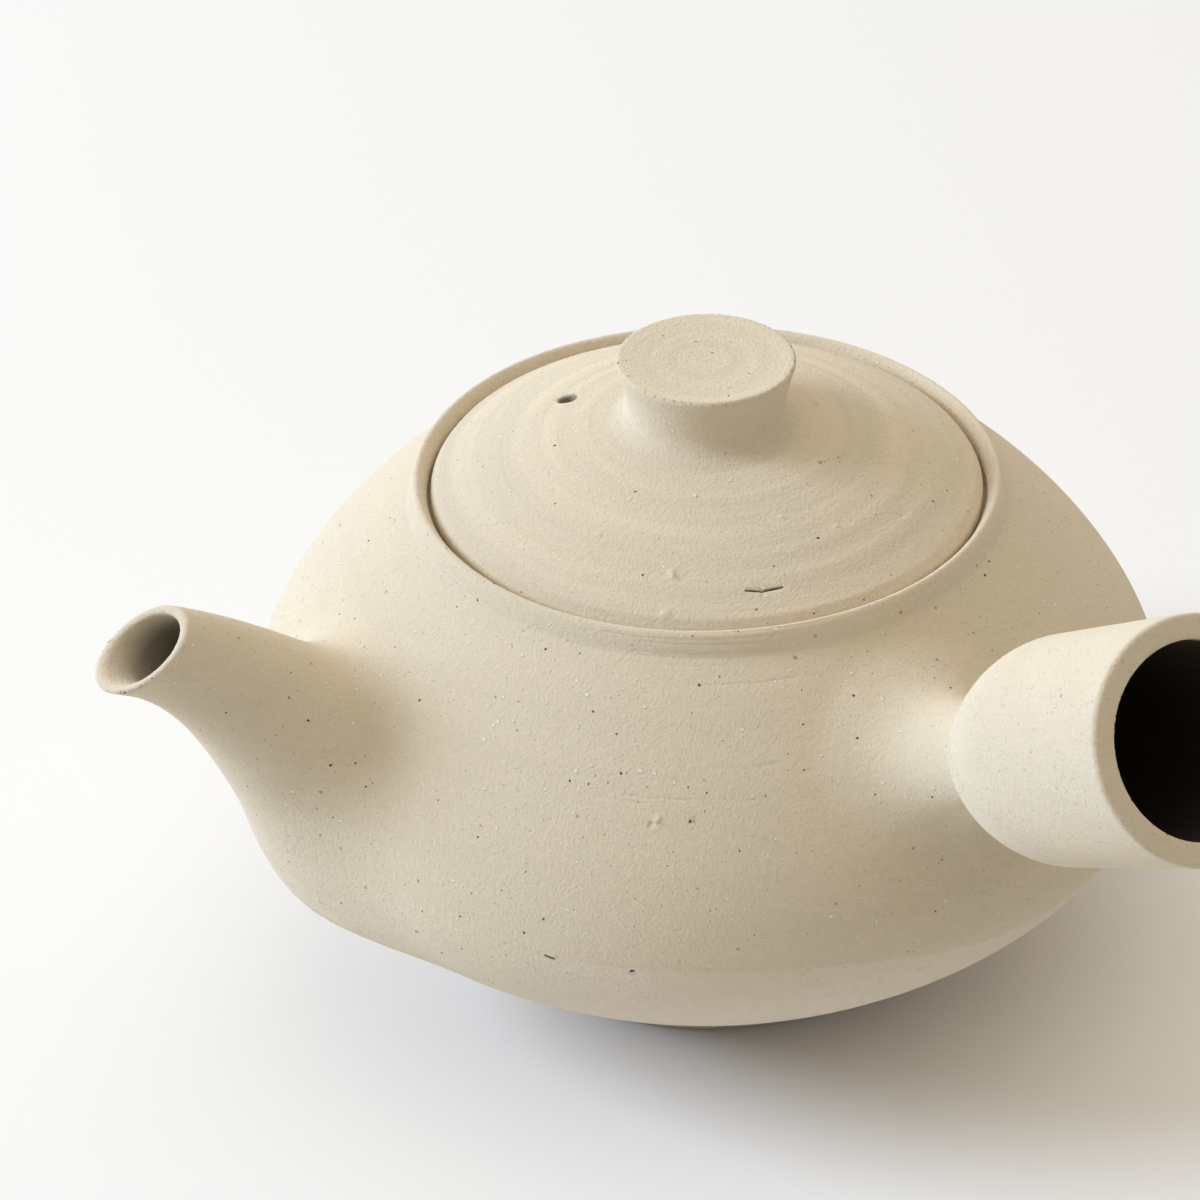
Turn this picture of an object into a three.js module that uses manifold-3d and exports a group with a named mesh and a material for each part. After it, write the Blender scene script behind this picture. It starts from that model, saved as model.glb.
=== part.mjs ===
// A side-handled kyusu: a small thrown teapot of unglazed stoneware, in millimetres, +Z up.
// The origin is the middle of the flat base. The spout points along -X, and the hollow
// handle stands out close to -Y, so that a right hand tips the pot towards the spout.
import * as THREE from 'three';
import { mergeVertices } from 'three/addons/utils/BufferGeometryUtils.js';
import Module from 'manifold-3d';

const wasm = await Module();
wasm.setup();

// Pot: a low round body with a turned-up lip
const BASE_RADIUS = 32.4;
const BASE_BEVEL = 1.2;
const BELLY_RADIUS = 63.8;
const BELLY_HEIGHT = 33.5;
const FOOT_RISE_ANGLE = 40.6;
const FOOT_REACH = 16.6;
const BELLY_FULLNESS = 12;
const SHOULDER_ANGLE = 36.3;
const SHOULDER_REACH = 13;
const LIP_HEIGHT = 71.4;
const LIP_RISE = 3.5;
const LIP_FLARE = 1.4;
const LIP_ROUND = 0.7;
const WALL = 3.2;
const FLOOR = 4;
const FLOOR_COVE = 1.5;

// Gallery: the ledge inside the lip that carries the lid
const LID_SIDE_GAP = 0.6;
const GALLERY_DEPTH = 3.8;
const GALLERY_WIDTH = 5;
const GALLERY_THICKNESS = 3;
const GALLERY_FILLET = 0.5;

// Lid: a low dome with a flange that keeps it in the mouth while the pot is tipped
const LID_RADIUS = 37.6;
const LID_EDGE_THICKNESS = 2.7;
const LID_RISE = 10;
const LID_THICKNESS = 3.2;
const LID_SEAT_GAP = 0.3;
const LID_EDGE_ROUND = 0.9;
const LID_UNDER_ROUND = 0.5;
const LID_BRIM = 4;
const FLANGE_THICKNESS = 2.4;
const FLANGE_DEPTH = 6.4;
const FLANGE_GAP = 0.6;
const FLANGE_ROUND = 0.6;
const VENT_DIAMETER = 2.5;
const VENT_DISTANCE = 21;
const VENT_AZIMUTH = 126.6;

// Knob on the lid
const KNOB_TOP_RADIUS = 12.1;
const KNOB_WAIST_RADIUS = 9.6;
const KNOB_BASE_RADIUS = 11.6;
const KNOB_HEIGHT = 8.3;
const KNOB_EDGE = 2;
const KNOB_ROUND = 0.6;
const KNOB_FOOT_EDGE = 0.2;
const KNOB_FILLET = 1.2;
const KNOB_WAIST_HEIGHT = 3.3;
const KNOB_RIM = 3;
const KNOB_DISH = 0.5;

// Spout: a tapering tube that rises from the belly to just under the lip. Its mouth is cut on a slant.
const SPOUT_AZIMUTH = 180;
const SPOUT_ROOT_INSET = 15;
const SPOUT_ROOT_HEIGHT = 33;
const SPOUT_OVERHANG = 20.1;
const SPOUT_TIP_HEIGHT = 68.8;
const SPOUT_ROOT_RADIUS = 20.2;
const SPOUT_TIP_RADIUS = 6.25;
const SPOUT_TAPER = 1.7;
const SPOUT_ROOT_ANGLE = 39;
const SPOUT_TIP_ANGLE = 26;
const SPOUT_ROOT_LEAN = 0.6;
const SPOUT_LEAN_END = 0.25;
const SPOUT_SLANT_START = 0.5;
const SPOUT_TUCK = 10;
const SPOUT_TUCK_DROP = 3.3;
const SPOUT_MOUTH_ANGLE = 58;
const SPOUT_WALL = 2.6;
const SPOUT_LIP = 1.3;

// Handle: a hollow thrown horn with a narrow neck, a round shoulder and an open end
const HANDLE_AZIMUTH = -84;
const HANDLE_RISE_ANGLE = 32;
const HANDLE_AXIS_HEIGHT = 20.5;
const HANDLE_REACH = 62.6;
const HANDLE_END_RADIUS = 15.7;
const HANDLE_SHOULDER_RADIUS = 14.8;
const HANDLE_NECK_RADIUS = 6.2;
const HANDLE_ROOT_RADIUS = 14;
const HANDLE_ROOT_INSET = 2.4;
const HANDLE_FLARE = 13;
const HANDLE_SHOULDER = 24;
const HANDLE_WALL = 3;
const HANDLE_RIM_ROUND = 0.9;

// Strainer: a perforated dome over the opening behind the spout
const STRAINER_HEIGHT = 37;
const STRAINER_OPENING = 23;
const STRAINER_RADIUS = 17;
const STRAINER_BULGE = 11;
const STRAINER_WALL = 1.8;
const STRAINER_HOLE = 1.9;
const STRAINER_RINGS = 4;
const STRAINER_RING_HOLES = 6;
const STRAINER_RING_STEP = 3.1;

// Pieces are joined with slip, so they lie this far apart
const JOINT_GAP = 0.3;

// Facets round each form, and steps along each curve
const POT_SIDES = 56;
const TUBE_SIDES = 28;
const STRAINER_SIDES = 18;
const HOLE_SIDES = 6;
const BODY_STEPS = 6;
const EDGE_STEPS = 6;
const LID_STEPS = 4;
const KNOB_STEPS = 10;
const SPOUT_STEPS = 8;
const HANDLE_STEPS = 5;
const STRAINER_STEPS = 4;
const MERGE_DISTANCE = 1e-4;

const radians = THREE.MathUtils.degToRad;

const seatRadius = LID_RADIUS + LID_SIDE_GAP;
const lipRadius = seatRadius + LIP_FLARE;
const ledgeHeight = LIP_HEIGHT - GALLERY_DEPTH;
const throatRadius = seatRadius - GALLERY_WIDTH;
const lidSeat = ledgeHeight + LID_SEAT_GAP;
const lidEdgeTop = lidSeat + LID_EDGE_THICKNESS;

// A closed geometry becomes a solid once the vertices that it shares are merged.
function solidOf(geometry) {
  const bare = geometry.clone();
  bare.deleteAttribute('normal');
  bare.deleteAttribute('uv');
  const merged = mergeVertices(bare, MERGE_DISTANCE);
  const corners = [];
  for (let i = 0; i < merged.index.count; i += 3) {
    const [a, b, c] = [0, 1, 2].map((k) => merged.index.getX(i + k));
    if (a !== b && b !== c && c !== a) corners.push(a, b, c);
  }
  return new wasm.Manifold(new wasm.Mesh({
    numProp: 3,
    vertProperties: merged.attributes.position.array,
    triVerts: new Uint32Array(corners),
  }));
}

function geometryOf(solid) {
  const { vertProperties, triVerts } = solid.getMesh();
  const geometry = new THREE.BufferGeometry();
  geometry.setAttribute('position', new THREE.Float32BufferAttribute(vertProperties, 3));
  geometry.setIndex(Array.from(triVerts));
  geometry.computeVertexNormals();
  return geometry;
}

// A revolved solid about +Z. The profile runs up the outside and down the inside.
function revolve(profile, sides) {
  return new THREE.LatheGeometry(profile, sides).rotateX(Math.PI / 2);
}

// Shifts a profile sideways by a distance, outwards where that is positive.
function offsetProfile(points, distance) {
  return points.map((point, i) => {
    const before = points[Math.max(i - 1, 0)];
    const after = points[Math.min(i + 1, points.length - 1)];
    const along = after.clone().sub(before).normalize();
    return new THREE.Vector2(point.x + along.y * distance, point.y - along.x * distance);
  });
}

function clay(name, geometry, color) {
  const material = new THREE.MeshStandardMaterial({ color, roughness: 0.92, metalness: 0 });
  const mesh = new THREE.Mesh(geometry, material);
  mesh.name = name;
  return mesh;
}

// The outside of the pot, from the edge of the base to the foot of the lip.
function potOutside() {
  const rise = radians(FOOT_RISE_ANGLE);
  const fall = radians(SHOULDER_ANGLE);
  const lipFoot = new THREE.Vector2(lipRadius + LIP_FLARE, LIP_HEIGHT - LIP_RISE);
  const belly = new THREE.Vector2(BELLY_RADIUS, BELLY_HEIGHT);
  const foot = new THREE.Vector2(BASE_RADIUS, BASE_BEVEL);
  const lower = new THREE.CubicBezierCurve(
    foot,
    new THREE.Vector2(Math.cos(rise), Math.sin(rise)).multiplyScalar(FOOT_REACH).add(foot),
    new THREE.Vector2(belly.x, belly.y - BELLY_FULLNESS),
    belly,
  );
  const upper = new THREE.CubicBezierCurve(
    belly,
    new THREE.Vector2(belly.x, belly.y + BELLY_FULLNESS),
    new THREE.Vector2(
      lipFoot.x + SHOULDER_REACH * Math.cos(fall),
      lipFoot.y - SHOULDER_REACH * Math.sin(fall),
    ),
    lipFoot,
  );
  return [...lower.getPoints(BODY_STEPS), ...upper.getPoints(BODY_STEPS + 1).slice(1)];
}

function potProfile() {
  const outside = potOutside();
  const lip = new THREE.SplineCurve([
    outside.at(-1),
    new THREE.Vector2(lipRadius + LIP_ROUND, LIP_HEIGHT - LIP_ROUND),
    new THREE.Vector2(lipRadius, LIP_HEIGHT),
    new THREE.Vector2(lipRadius - LIP_ROUND, LIP_HEIGHT - LIP_ROUND),
    new THREE.Vector2(seatRadius, LIP_HEIGHT - 2 * LIP_ROUND - LIP_FLARE / 2),
  ]);
  const underLedge = ledgeHeight - GALLERY_THICKNESS;
  const inside = offsetProfile(potOutside(), -WALL)
    .filter((point) => point.y > FLOOR + FLOOR_COVE / 2 && point.y < underLedge - GALLERY_FILLET)
    .reverse();
  return [
    new THREE.Vector2(0, 0),
    new THREE.Vector2(BASE_RADIUS - BASE_BEVEL, 0),
    ...outside,
    ...lip.getPoints(EDGE_STEPS).slice(1),
    new THREE.Vector2(seatRadius, ledgeHeight),
    new THREE.Vector2(throatRadius, ledgeHeight),
    new THREE.Vector2(throatRadius, underLedge),
    ...inside,
    new THREE.Vector2(inside.at(-1).x - FLOOR_COVE, FLOOR),
    new THREE.Vector2(0, FLOOR),
  ];
}

// The pot without its hollow, grown by the joint gap: it trims what is luted onto the pot.
function grownPot() {
  const grown = offsetProfile(potOutside(), JOINT_GAP);
  return solidOf(revolve([
    new THREE.Vector2(0, -JOINT_GAP),
    ...grown,
    new THREE.Vector2(0, LIP_HEIGHT),
  ], POT_SIDES));
}

// The pot's hollow, shrunk by the joint gap: it trims what is luted onto the inner wall.
function shrunkHollow() {
  const inside = offsetProfile(potOutside(), -WALL - JOINT_GAP).filter((p) => p.y > FLOOR + JOINT_GAP);
  return solidOf(revolve([
    new THREE.Vector2(0, FLOOR + JOINT_GAP),
    ...inside,
    new THREE.Vector2(0, inside.at(-1).y),
  ], POT_SIDES));
}

function makePot() {
  const opening = new THREE.CylinderGeometry(
    STRAINER_OPENING / 2, STRAINER_OPENING / 2, BELLY_RADIUS, TUBE_SIDES,
  );
  opening.rotateZ(Math.PI / 2).translate(BELLY_RADIUS, 0, STRAINER_HEIGHT);
  opening.rotateZ(radians(SPOUT_AZIMUTH));
  return geometryOf(solidOf(revolve(potProfile(), POT_SIDES)).subtract(solidOf(opening)));
}

// Height of the lid's upper face at a distance from its middle: part of a sphere.
function lidSphereRadius() {
  return (LID_RADIUS ** 2 + LID_RISE ** 2) / (2 * LID_RISE);
}

function domeHeight(distance, inset = 0) {
  const sphere = lidSphereRadius();
  return lidEdgeTop + LID_RISE - sphere + Math.sqrt((sphere - inset) ** 2 - distance ** 2);
}

function domeCurve(from, to, steps, inset = 0) {
  return Array.from({ length: steps + 1 }, (_, i) => {
    const distance = THREE.MathUtils.lerp(from, to, i / steps);
    return new THREE.Vector2(distance, domeHeight(distance, inset));
  });
}

function makeLid() {
  const flangeOuter = throatRadius - FLANGE_GAP;
  const flangeInner = flangeOuter - FLANGE_THICKNESS;
  const flangeFoot = lidSeat - FLANGE_DEPTH;
  const edge = new THREE.SplineCurve([
    new THREE.Vector2(LID_RADIUS - LID_UNDER_ROUND, lidSeat),
    new THREE.Vector2(LID_RADIUS, lidSeat + LID_UNDER_ROUND),
    new THREE.Vector2(LID_RADIUS, lidEdgeTop - LID_EDGE_ROUND),
    new THREE.Vector2(LID_RADIUS - LID_EDGE_ROUND, domeHeight(LID_RADIUS - LID_EDGE_ROUND)),
  ]);
  const profile = [
    ...domeCurve(0, flangeInner, LID_STEPS, LID_THICKNESS),
    new THREE.Vector2(flangeInner, flangeFoot + FLANGE_ROUND),
    new THREE.Vector2(flangeInner + FLANGE_ROUND, flangeFoot),
    new THREE.Vector2(flangeOuter - FLANGE_ROUND, flangeFoot),
    new THREE.Vector2(flangeOuter, flangeFoot + FLANGE_ROUND),
    new THREE.Vector2(flangeOuter, lidSeat),
    ...edge.getPoints(LID_STEPS),
    ...domeCurve(LID_RADIUS - LID_BRIM, 0, LID_STEPS + 2),
  ];
  const vent = new THREE.CylinderGeometry(
    VENT_DIAMETER / 2, VENT_DIAMETER / 2, LID_RISE + LID_THICKNESS, HOLE_SIDES * 2,
  );
  vent.rotateX(Math.PI / 2).translate(VENT_DISTANCE, 0, domeHeight(VENT_DISTANCE));
  vent.rotateZ(radians(VENT_AZIMUTH));
  return geometryOf(solidOf(revolve(profile, POT_SIDES)).subtract(solidOf(vent)));
}

function makeKnob() {
  const base = domeCurve(0, KNOB_BASE_RADIUS, LID_STEPS).map((p) => p.setY(p.y + JOINT_GAP));
  const seat = base.at(-1).y;
  const top = domeHeight(0) + JOINT_GAP + KNOB_HEIGHT;
  const side = new THREE.SplineCurve([
    new THREE.Vector2(KNOB_BASE_RADIUS, seat + KNOB_FOOT_EDGE),
    new THREE.Vector2(KNOB_WAIST_RADIUS + KNOB_FILLET / 2, seat + KNOB_FILLET),
    new THREE.Vector2(KNOB_WAIST_RADIUS, seat + KNOB_WAIST_HEIGHT),
    new THREE.Vector2(KNOB_TOP_RADIUS - KNOB_ROUND, top - KNOB_EDGE),
    new THREE.Vector2(KNOB_TOP_RADIUS, top - KNOB_EDGE / 2),
    new THREE.Vector2(KNOB_TOP_RADIUS - KNOB_ROUND, top),
  ]);
  const profile = [
    ...base,
    ...side.getPoints(KNOB_STEPS),
    new THREE.Vector2(KNOB_TOP_RADIUS - KNOB_RIM, top - KNOB_DISH / 2),
    new THREE.Vector2(0, top - KNOB_DISH),
  ];
  return geometryOf(solidOf(revolve(profile, TUBE_SIDES)));
}

// A ring-shaped skin through rows of points. The rows and the points in each row both close.
function ringSkin(rows) {
  const sides = rows[0].length;
  const corners = [];
  for (let i = 0; i < rows.length; i += 1) {
    for (let j = 0; j < sides; j += 1) {
      const next = (i + 1) % rows.length;
      const side = (j + 1) % sides;
      const [a, b] = [i * sides + j, i * sides + side];
      const [c, d] = [next * sides + j, next * sides + side];
      corners.push(a, d, b, a, c, d);
    }
  }
  const geometry = new THREE.BufferGeometry().setFromPoints(rows.flat());
  geometry.setIndex(corners);
  return geometry;
}

// The spout's centreline in its own upright plane, as distance from the pot's axis and height.
function spoutCentreline() {
  const root = new THREE.Vector2(BELLY_RADIUS - SPOUT_ROOT_INSET, SPOUT_ROOT_HEIGHT);
  const tip = new THREE.Vector2(BELLY_RADIUS + SPOUT_OVERHANG, SPOUT_TIP_HEIGHT);
  const reach = root.distanceTo(tip) / 3;
  const leaving = new THREE.Vector2(reach, 0).rotateAround(new THREE.Vector2(), radians(SPOUT_ROOT_ANGLE));
  const arriving = new THREE.Vector2(-reach, 0).rotateAround(new THREE.Vector2(), radians(SPOUT_TIP_ANGLE));
  return new THREE.CubicBezierCurve(root, leaving.add(root), arriving.add(tip), tip);
}

// A ring of the spout's skin. The root ring leans towards the belly, the last ones lie in the mouth's slant.
function spoutRing(centreline, t, radius, rise = 0) {
  const centre = centreline.getPoint(t);
  const lean = THREE.MathUtils.lerp(SPOUT_ROOT_LEAN, 1, THREE.MathUtils.smoothstep(t, 0, SPOUT_LEAN_END));
  const cut = THREE.MathUtils.smoothstep(t, SPOUT_SLANT_START, 1);
  const slant = radians(SPOUT_MOUTH_ANGLE - SPOUT_TIP_ANGLE) * cut;
  const facing = centreline.getTangent(t).angle() * lean + slant;
  return tubeRing(centre, facing, radius / Math.cos(slant), radius, rise);
}

// An oval ring about a point of the spout's upright plane, facing along an angle in that plane.
function tubeRing(centre, facing, half, radius, rise) {
  const normal = new THREE.Vector2(Math.cos(facing), Math.sin(facing));
  return Array.from({ length: TUBE_SIDES }, (_, j) => {
    const turn = (2 * Math.PI * j) / TUBE_SIDES;
    const up = half * Math.cos(turn);
    return new THREE.Vector3(
      centre.x - normal.y * up + normal.x * rise,
      radius * Math.sin(turn),
      centre.y + normal.x * up + normal.y * rise,
    );
  });
}

// The ring inside the pot that the root of the spout tucks in to, so that the spout has an underside.
function tuckRing(centreline, radius) {
  const root = centreline.getPoint(0);
  const centre = new THREE.Vector2(root.x - SPOUT_TUCK, root.y - SPOUT_TUCK_DROP);
  return tubeRing(centre, 0, radius, radius, 0);
}

function makeSpout() {
  const centreline = spoutCentreline();
  const outer = (t) => SPOUT_TIP_RADIUS + (SPOUT_ROOT_RADIUS - SPOUT_TIP_RADIUS) * (1 - t) ** SPOUT_TAPER;
  const inner = (t) => outer(t) - THREE.MathUtils.lerp(SPOUT_WALL, SPOUT_LIP, t);
  const stations = Array.from({ length: SPOUT_STEPS + 1 }, (_, i) => i / SPOUT_STEPS);
  const rows = [
    tuckRing(centreline, outer(0) - SPOUT_WALL / 2),
    ...stations.map((t) => spoutRing(centreline, t, outer(t))),
    spoutRing(centreline, 1, (outer(1) + inner(1)) / 2, SPOUT_LIP / 3),
    ...stations.reverse().map((t) => spoutRing(centreline, t, inner(t))),
    tuckRing(centreline, inner(0) - SPOUT_WALL / 2),
  ];
  const skin = ringSkin(rows).rotateZ(radians(SPOUT_AZIMUTH));
  return geometryOf(solidOf(skin).subtract(grownPot()));
}

function makeHandle() {
  const root = BELLY_RADIUS - HANDLE_ROOT_INSET;
  const neck = root + HANDLE_FLARE;
  const shoulder = neck + HANDLE_SHOULDER;
  const end = BELLY_RADIUS + HANDLE_REACH;
  const steps = HANDLE_STEPS;
  const flare = Array.from({ length: steps }, (_, i) => new THREE.Vector2(
    THREE.MathUtils.lerp(HANDLE_NECK_RADIUS, HANDLE_ROOT_RADIUS, (1 - i / steps) ** 2),
    THREE.MathUtils.lerp(root, neck, i / steps),
  ));
  const swell = Array.from({ length: steps + 1 }, (_, i) => new THREE.Vector2(
    THREE.MathUtils.lerp(HANDLE_NECK_RADIUS, HANDLE_SHOULDER_RADIUS, Math.sin((Math.PI / 2) * (i / steps))),
    THREE.MathUtils.lerp(neck, shoulder, i / steps),
  ));
  const rim = new THREE.SplineCurve([
    new THREE.Vector2(HANDLE_END_RADIUS, end - HANDLE_RIM_ROUND),
    new THREE.Vector2(HANDLE_END_RADIUS - HANDLE_RIM_ROUND, end),
    new THREE.Vector2(HANDLE_END_RADIUS - HANDLE_WALL + HANDLE_RIM_ROUND, end),
    new THREE.Vector2(HANDLE_END_RADIUS - HANDLE_WALL, end - HANDLE_RIM_ROUND),
  ]);
  const middleRadius = (HANDLE_SHOULDER_RADIUS + HANDLE_NECK_RADIUS) / 2;
  const bore = new THREE.SplineCurve([
    new THREE.Vector2(HANDLE_END_RADIUS - HANDLE_WALL, (end + shoulder) / 2),
    new THREE.Vector2(HANDLE_SHOULDER_RADIUS - HANDLE_WALL, shoulder),
    new THREE.Vector2(middleRadius - HANDLE_WALL, (shoulder + neck) / 2),
    new THREE.Vector2(HANDLE_NECK_RADIUS - HANDLE_WALL, neck),
    new THREE.Vector2(HANDLE_NECK_RADIUS - HANDLE_WALL, root),
  ]);
  const outside = [...flare, ...swell, ...rim.getPoints(EDGE_STEPS)];
  const horn = revolve([...outside, ...bore.getPoints(steps + 3), flare[0].clone()], TUBE_SIDES);
  horn.rotateY(Math.PI / 2 - radians(HANDLE_RISE_ANGLE));
  horn.translate(0, 0, HANDLE_AXIS_HEIGHT).rotateZ(radians(HANDLE_AZIMUTH));
  return geometryOf(solidOf(horn).subtract(grownPot()));
}

function makeStrainer() {
  const wallDistance = BELLY_RADIUS - WALL;
  const centre = wallDistance + STRAINER_RADIUS - STRAINER_BULGE - STRAINER_WALL;
  const arc = (radius, from, to, steps) => Array.from({ length: steps + 1 }, (_, i) => {
    const angle = THREE.MathUtils.lerp(from, to, i / steps);
    return new THREE.Vector2(radius * Math.sin(angle), -radius * Math.cos(angle));
  });
  const profile = [
    ...arc(STRAINER_RADIUS, 0, Math.PI / 2, STRAINER_STEPS),
    ...arc(STRAINER_RADIUS - STRAINER_WALL, Math.PI / 2, 0, STRAINER_STEPS),
  ];
  let dome = solidOf(revolve(profile, STRAINER_SIDES));
  for (let ring = 0; ring <= STRAINER_RINGS; ring += 1) {
    const polar = (ring * STRAINER_RING_STEP) / STRAINER_RADIUS;
    const count = Math.max(1, ring * STRAINER_RING_HOLES);
    for (let i = 0; i < count; i += 1) {
      const drill = new THREE.CylinderGeometry(
        STRAINER_HOLE / 2, STRAINER_HOLE / 2, STRAINER_WALL * 3, HOLE_SIDES,
      );
      drill.rotateX(Math.PI / 2).translate(0, 0, -STRAINER_RADIUS + STRAINER_WALL / 2);
      drill.rotateY(-polar).rotateZ((2 * Math.PI * (i + ring / 2)) / count);
      dome = dome.subtract(solidOf(drill));
    }
  }
  const placed = geometryOf(dome);
  placed.rotateY(Math.PI / 2).translate(centre, 0, STRAINER_HEIGHT).rotateZ(radians(SPOUT_AZIMUTH));
  return geometryOf(solidOf(placed).intersect(shrunkHollow()));
}

const kyusu = new THREE.Group();
kyusu.add(
  clay('pot_body', makePot(), '#d3c8ae'),
  clay('spout', makeSpout(), '#d0c4aa'),
  clay('handle', makeHandle(), '#d5cab1'),
  clay('strainer', makeStrainer(), '#cbbfa5'),
  clay('lid', makeLid(), '#d8cdb4'),
  clay('lid_knob', makeKnob(), '#dacfb7'),
);

export default kyusu;
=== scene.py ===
import math

import bmesh
import bpy
import numpy as np
from mathutils import Matrix, Vector


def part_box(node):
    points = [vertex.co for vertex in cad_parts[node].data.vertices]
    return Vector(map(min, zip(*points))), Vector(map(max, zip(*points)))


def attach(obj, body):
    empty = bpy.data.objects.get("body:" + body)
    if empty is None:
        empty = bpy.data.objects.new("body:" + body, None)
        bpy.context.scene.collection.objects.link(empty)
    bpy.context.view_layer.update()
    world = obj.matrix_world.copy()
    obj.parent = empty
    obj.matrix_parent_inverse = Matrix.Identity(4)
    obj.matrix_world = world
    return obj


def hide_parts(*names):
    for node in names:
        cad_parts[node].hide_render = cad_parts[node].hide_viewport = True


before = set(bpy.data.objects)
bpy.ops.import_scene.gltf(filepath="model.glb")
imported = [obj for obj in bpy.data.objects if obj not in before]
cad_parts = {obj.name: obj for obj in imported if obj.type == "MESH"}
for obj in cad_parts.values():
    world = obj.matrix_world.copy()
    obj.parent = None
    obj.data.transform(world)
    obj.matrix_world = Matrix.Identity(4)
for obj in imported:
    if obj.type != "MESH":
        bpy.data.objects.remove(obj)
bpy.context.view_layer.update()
print("frame loaded:", ", ".join(sorted(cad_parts)))


# Camera at the photo's angle, fitted to the outlines of the belly, the lip and the lid
camera = {
    "place": (-0.3002, -0.5646, 0.4658),  # metres
    "heading": 27.75,  # degrees to the right of +Y
    "downward": 32.33,
    "roll": -0.46,
    "lens": 165.47,  # millimetres on a 36 mm sensor
    "shift": (-0.0722, -0.0544),
}


def makeCamera():
    data = bpy.data.cameras.new("photoCamera")
    data.lens = camera["lens"]
    data.sensor_width = 36
    data.shift_x, data.shift_y = camera["shift"]
    data.clip_start, data.clip_end = 0.05, 20
    item = bpy.data.objects.new("photoCamera", data)
    bpy.context.scene.collection.objects.link(item)
    turn = Matrix.Rotation(math.radians(-camera["heading"]), 4, "Z")
    tilt = Matrix.Rotation(math.radians(90 - camera["downward"]), 4, "X")
    roll = Matrix.Rotation(math.radians(camera["roll"]), 4, "Z")
    item.matrix_world = Matrix.Translation(camera["place"]) @ turn @ tilt @ roll
    bpy.context.scene.camera = item


makeCamera()
print("camera placed")


# Outlines and fields, in millimetres. A field is below zero inside the clay.
def bezier(start, leave, arrive, end, steps):
    t = np.linspace(0, 1, steps + 1)[:, None]
    start, leave, arrive, end = (np.array(p, float) for p in (start, leave, arrive, end))
    return (1 - t) ** 3 * start + 3 * (1 - t) ** 2 * t * leave + 3 * (1 - t) * t**2 * arrive + t**3 * end


def smoothLine(points, steps):  # a curve through all the points
    p = np.array(points, float)
    u = np.linspace(0, len(p) - 1, steps + 1)
    i = np.minimum(u.astype(int), len(p) - 2)
    w = (u - i)[:, None]
    start, end = p[i], p[i + 1]
    leave = (end - p[np.maximum(i - 1, 0)]) / 2
    arrive = (p[np.minimum(i + 2, len(p) - 1)] - start) / 2
    cubic = 2 * start - 2 * end + leave + arrive
    square = -3 * start + 3 * end - 2 * leave - arrive
    return cubic * w**3 + square * w**2 + leave * w + start


def shifted(line, distance):  # the same line, moved sideways
    along = np.gradient(line, axis=0)
    along /= np.linalg.norm(along, axis=1, keepdims=True)
    return line + distance * np.stack([along[:, 1], -along[:, 0]], 1)


def nearest(line, across, up, closed):  # distance to a line, and where on it, in steps
    start = line if closed else line[:-1]
    end = np.roll(line, -1, 0) if closed else line[1:]
    stepX, stepY = (end - start).T
    lengthSquared = stepX**2 + stepY**2
    distance, where, crossings = (np.empty(len(across)) for _ in range(3))
    for first in range(0, len(across), 16384):
        part = slice(first, first + 16384)
        dx = across[part, None] - start[:, 0]
        dy = up[part, None] - start[:, 1]
        t = np.clip((dx * stepX + dy * stepY) / lengthSquared, 0, 1)
        gap = (dx - t * stepX) ** 2 + (dy - t * stepY) ** 2
        best = gap.argmin(1)
        rows = np.arange(len(best))
        distance[part] = np.sqrt(gap[rows, best])
        where[part] = best + t[rows, best]
        if closed:
            spans = (start[:, 1] > up[part, None]) != (end[:, 1] > up[part, None])
            rise = np.where(stepY == 0, 1, stepY)
            crossings[part] = (spans & (dx < stepX * dy / rise)).sum(1)
    return distance, where, crossings


def outlineField(outline, across, up):
    distance, _, crossings = nearest(outline, across, up, True)
    return np.where(crossings % 2 == 1, -distance, distance)


def joined(a, b, blend):  # union with a soft fillet
    h = np.maximum(blend - np.abs(a - b), 0) / blend
    return np.minimum(a, b) - h * h * blend / 4


def cut(a, b, blend):  # a without b, with a softened edge
    return -joined(-a, b, blend)


# What the hand, the tools and the grit leave in the clay. Each mark has its turn in degrees, its place
# in millimetres (a height on the pot, a radius on the lid), its length, its slope in degrees, its width
# and its rise. One that goes deeper than slitRise is a slit, and shade is painted inside it, darkening the
# clay.
slitRise = -0.3


def markGap(mark, turn, radius, place):  # distance in widths of the mark
    markTurn, markPlace, length, slope, width, _ = mark
    slope = math.radians(slope)
    across = (turn - math.radians(markTurn)) * radius
    up = place - markPlace
    along = np.abs(across * math.cos(slope) + up * math.sin(slope)) - length / 2
    aside = up * math.cos(slope) - across * math.sin(slope)
    return np.hypot(np.maximum(along, 0), aside) / width


def marked(clay, marks, turn, radius, place):
    for mark in marks:
        rise = mark[-1]
        clay = clay - rise * np.exp(-(markGap(mark, turn, radius, place) ** 2))
    return clay


def markFineness(marks, turn, radius, place):
    fineness = np.full(len(turn), 9.0)
    for mark in marks:
        width = mark[-2]
        near = markGap(mark, turn, radius, place) < 3
        fineness = np.where(near, np.minimum(fineness, 0.5 * width), fineness)
    return fineness


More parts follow.
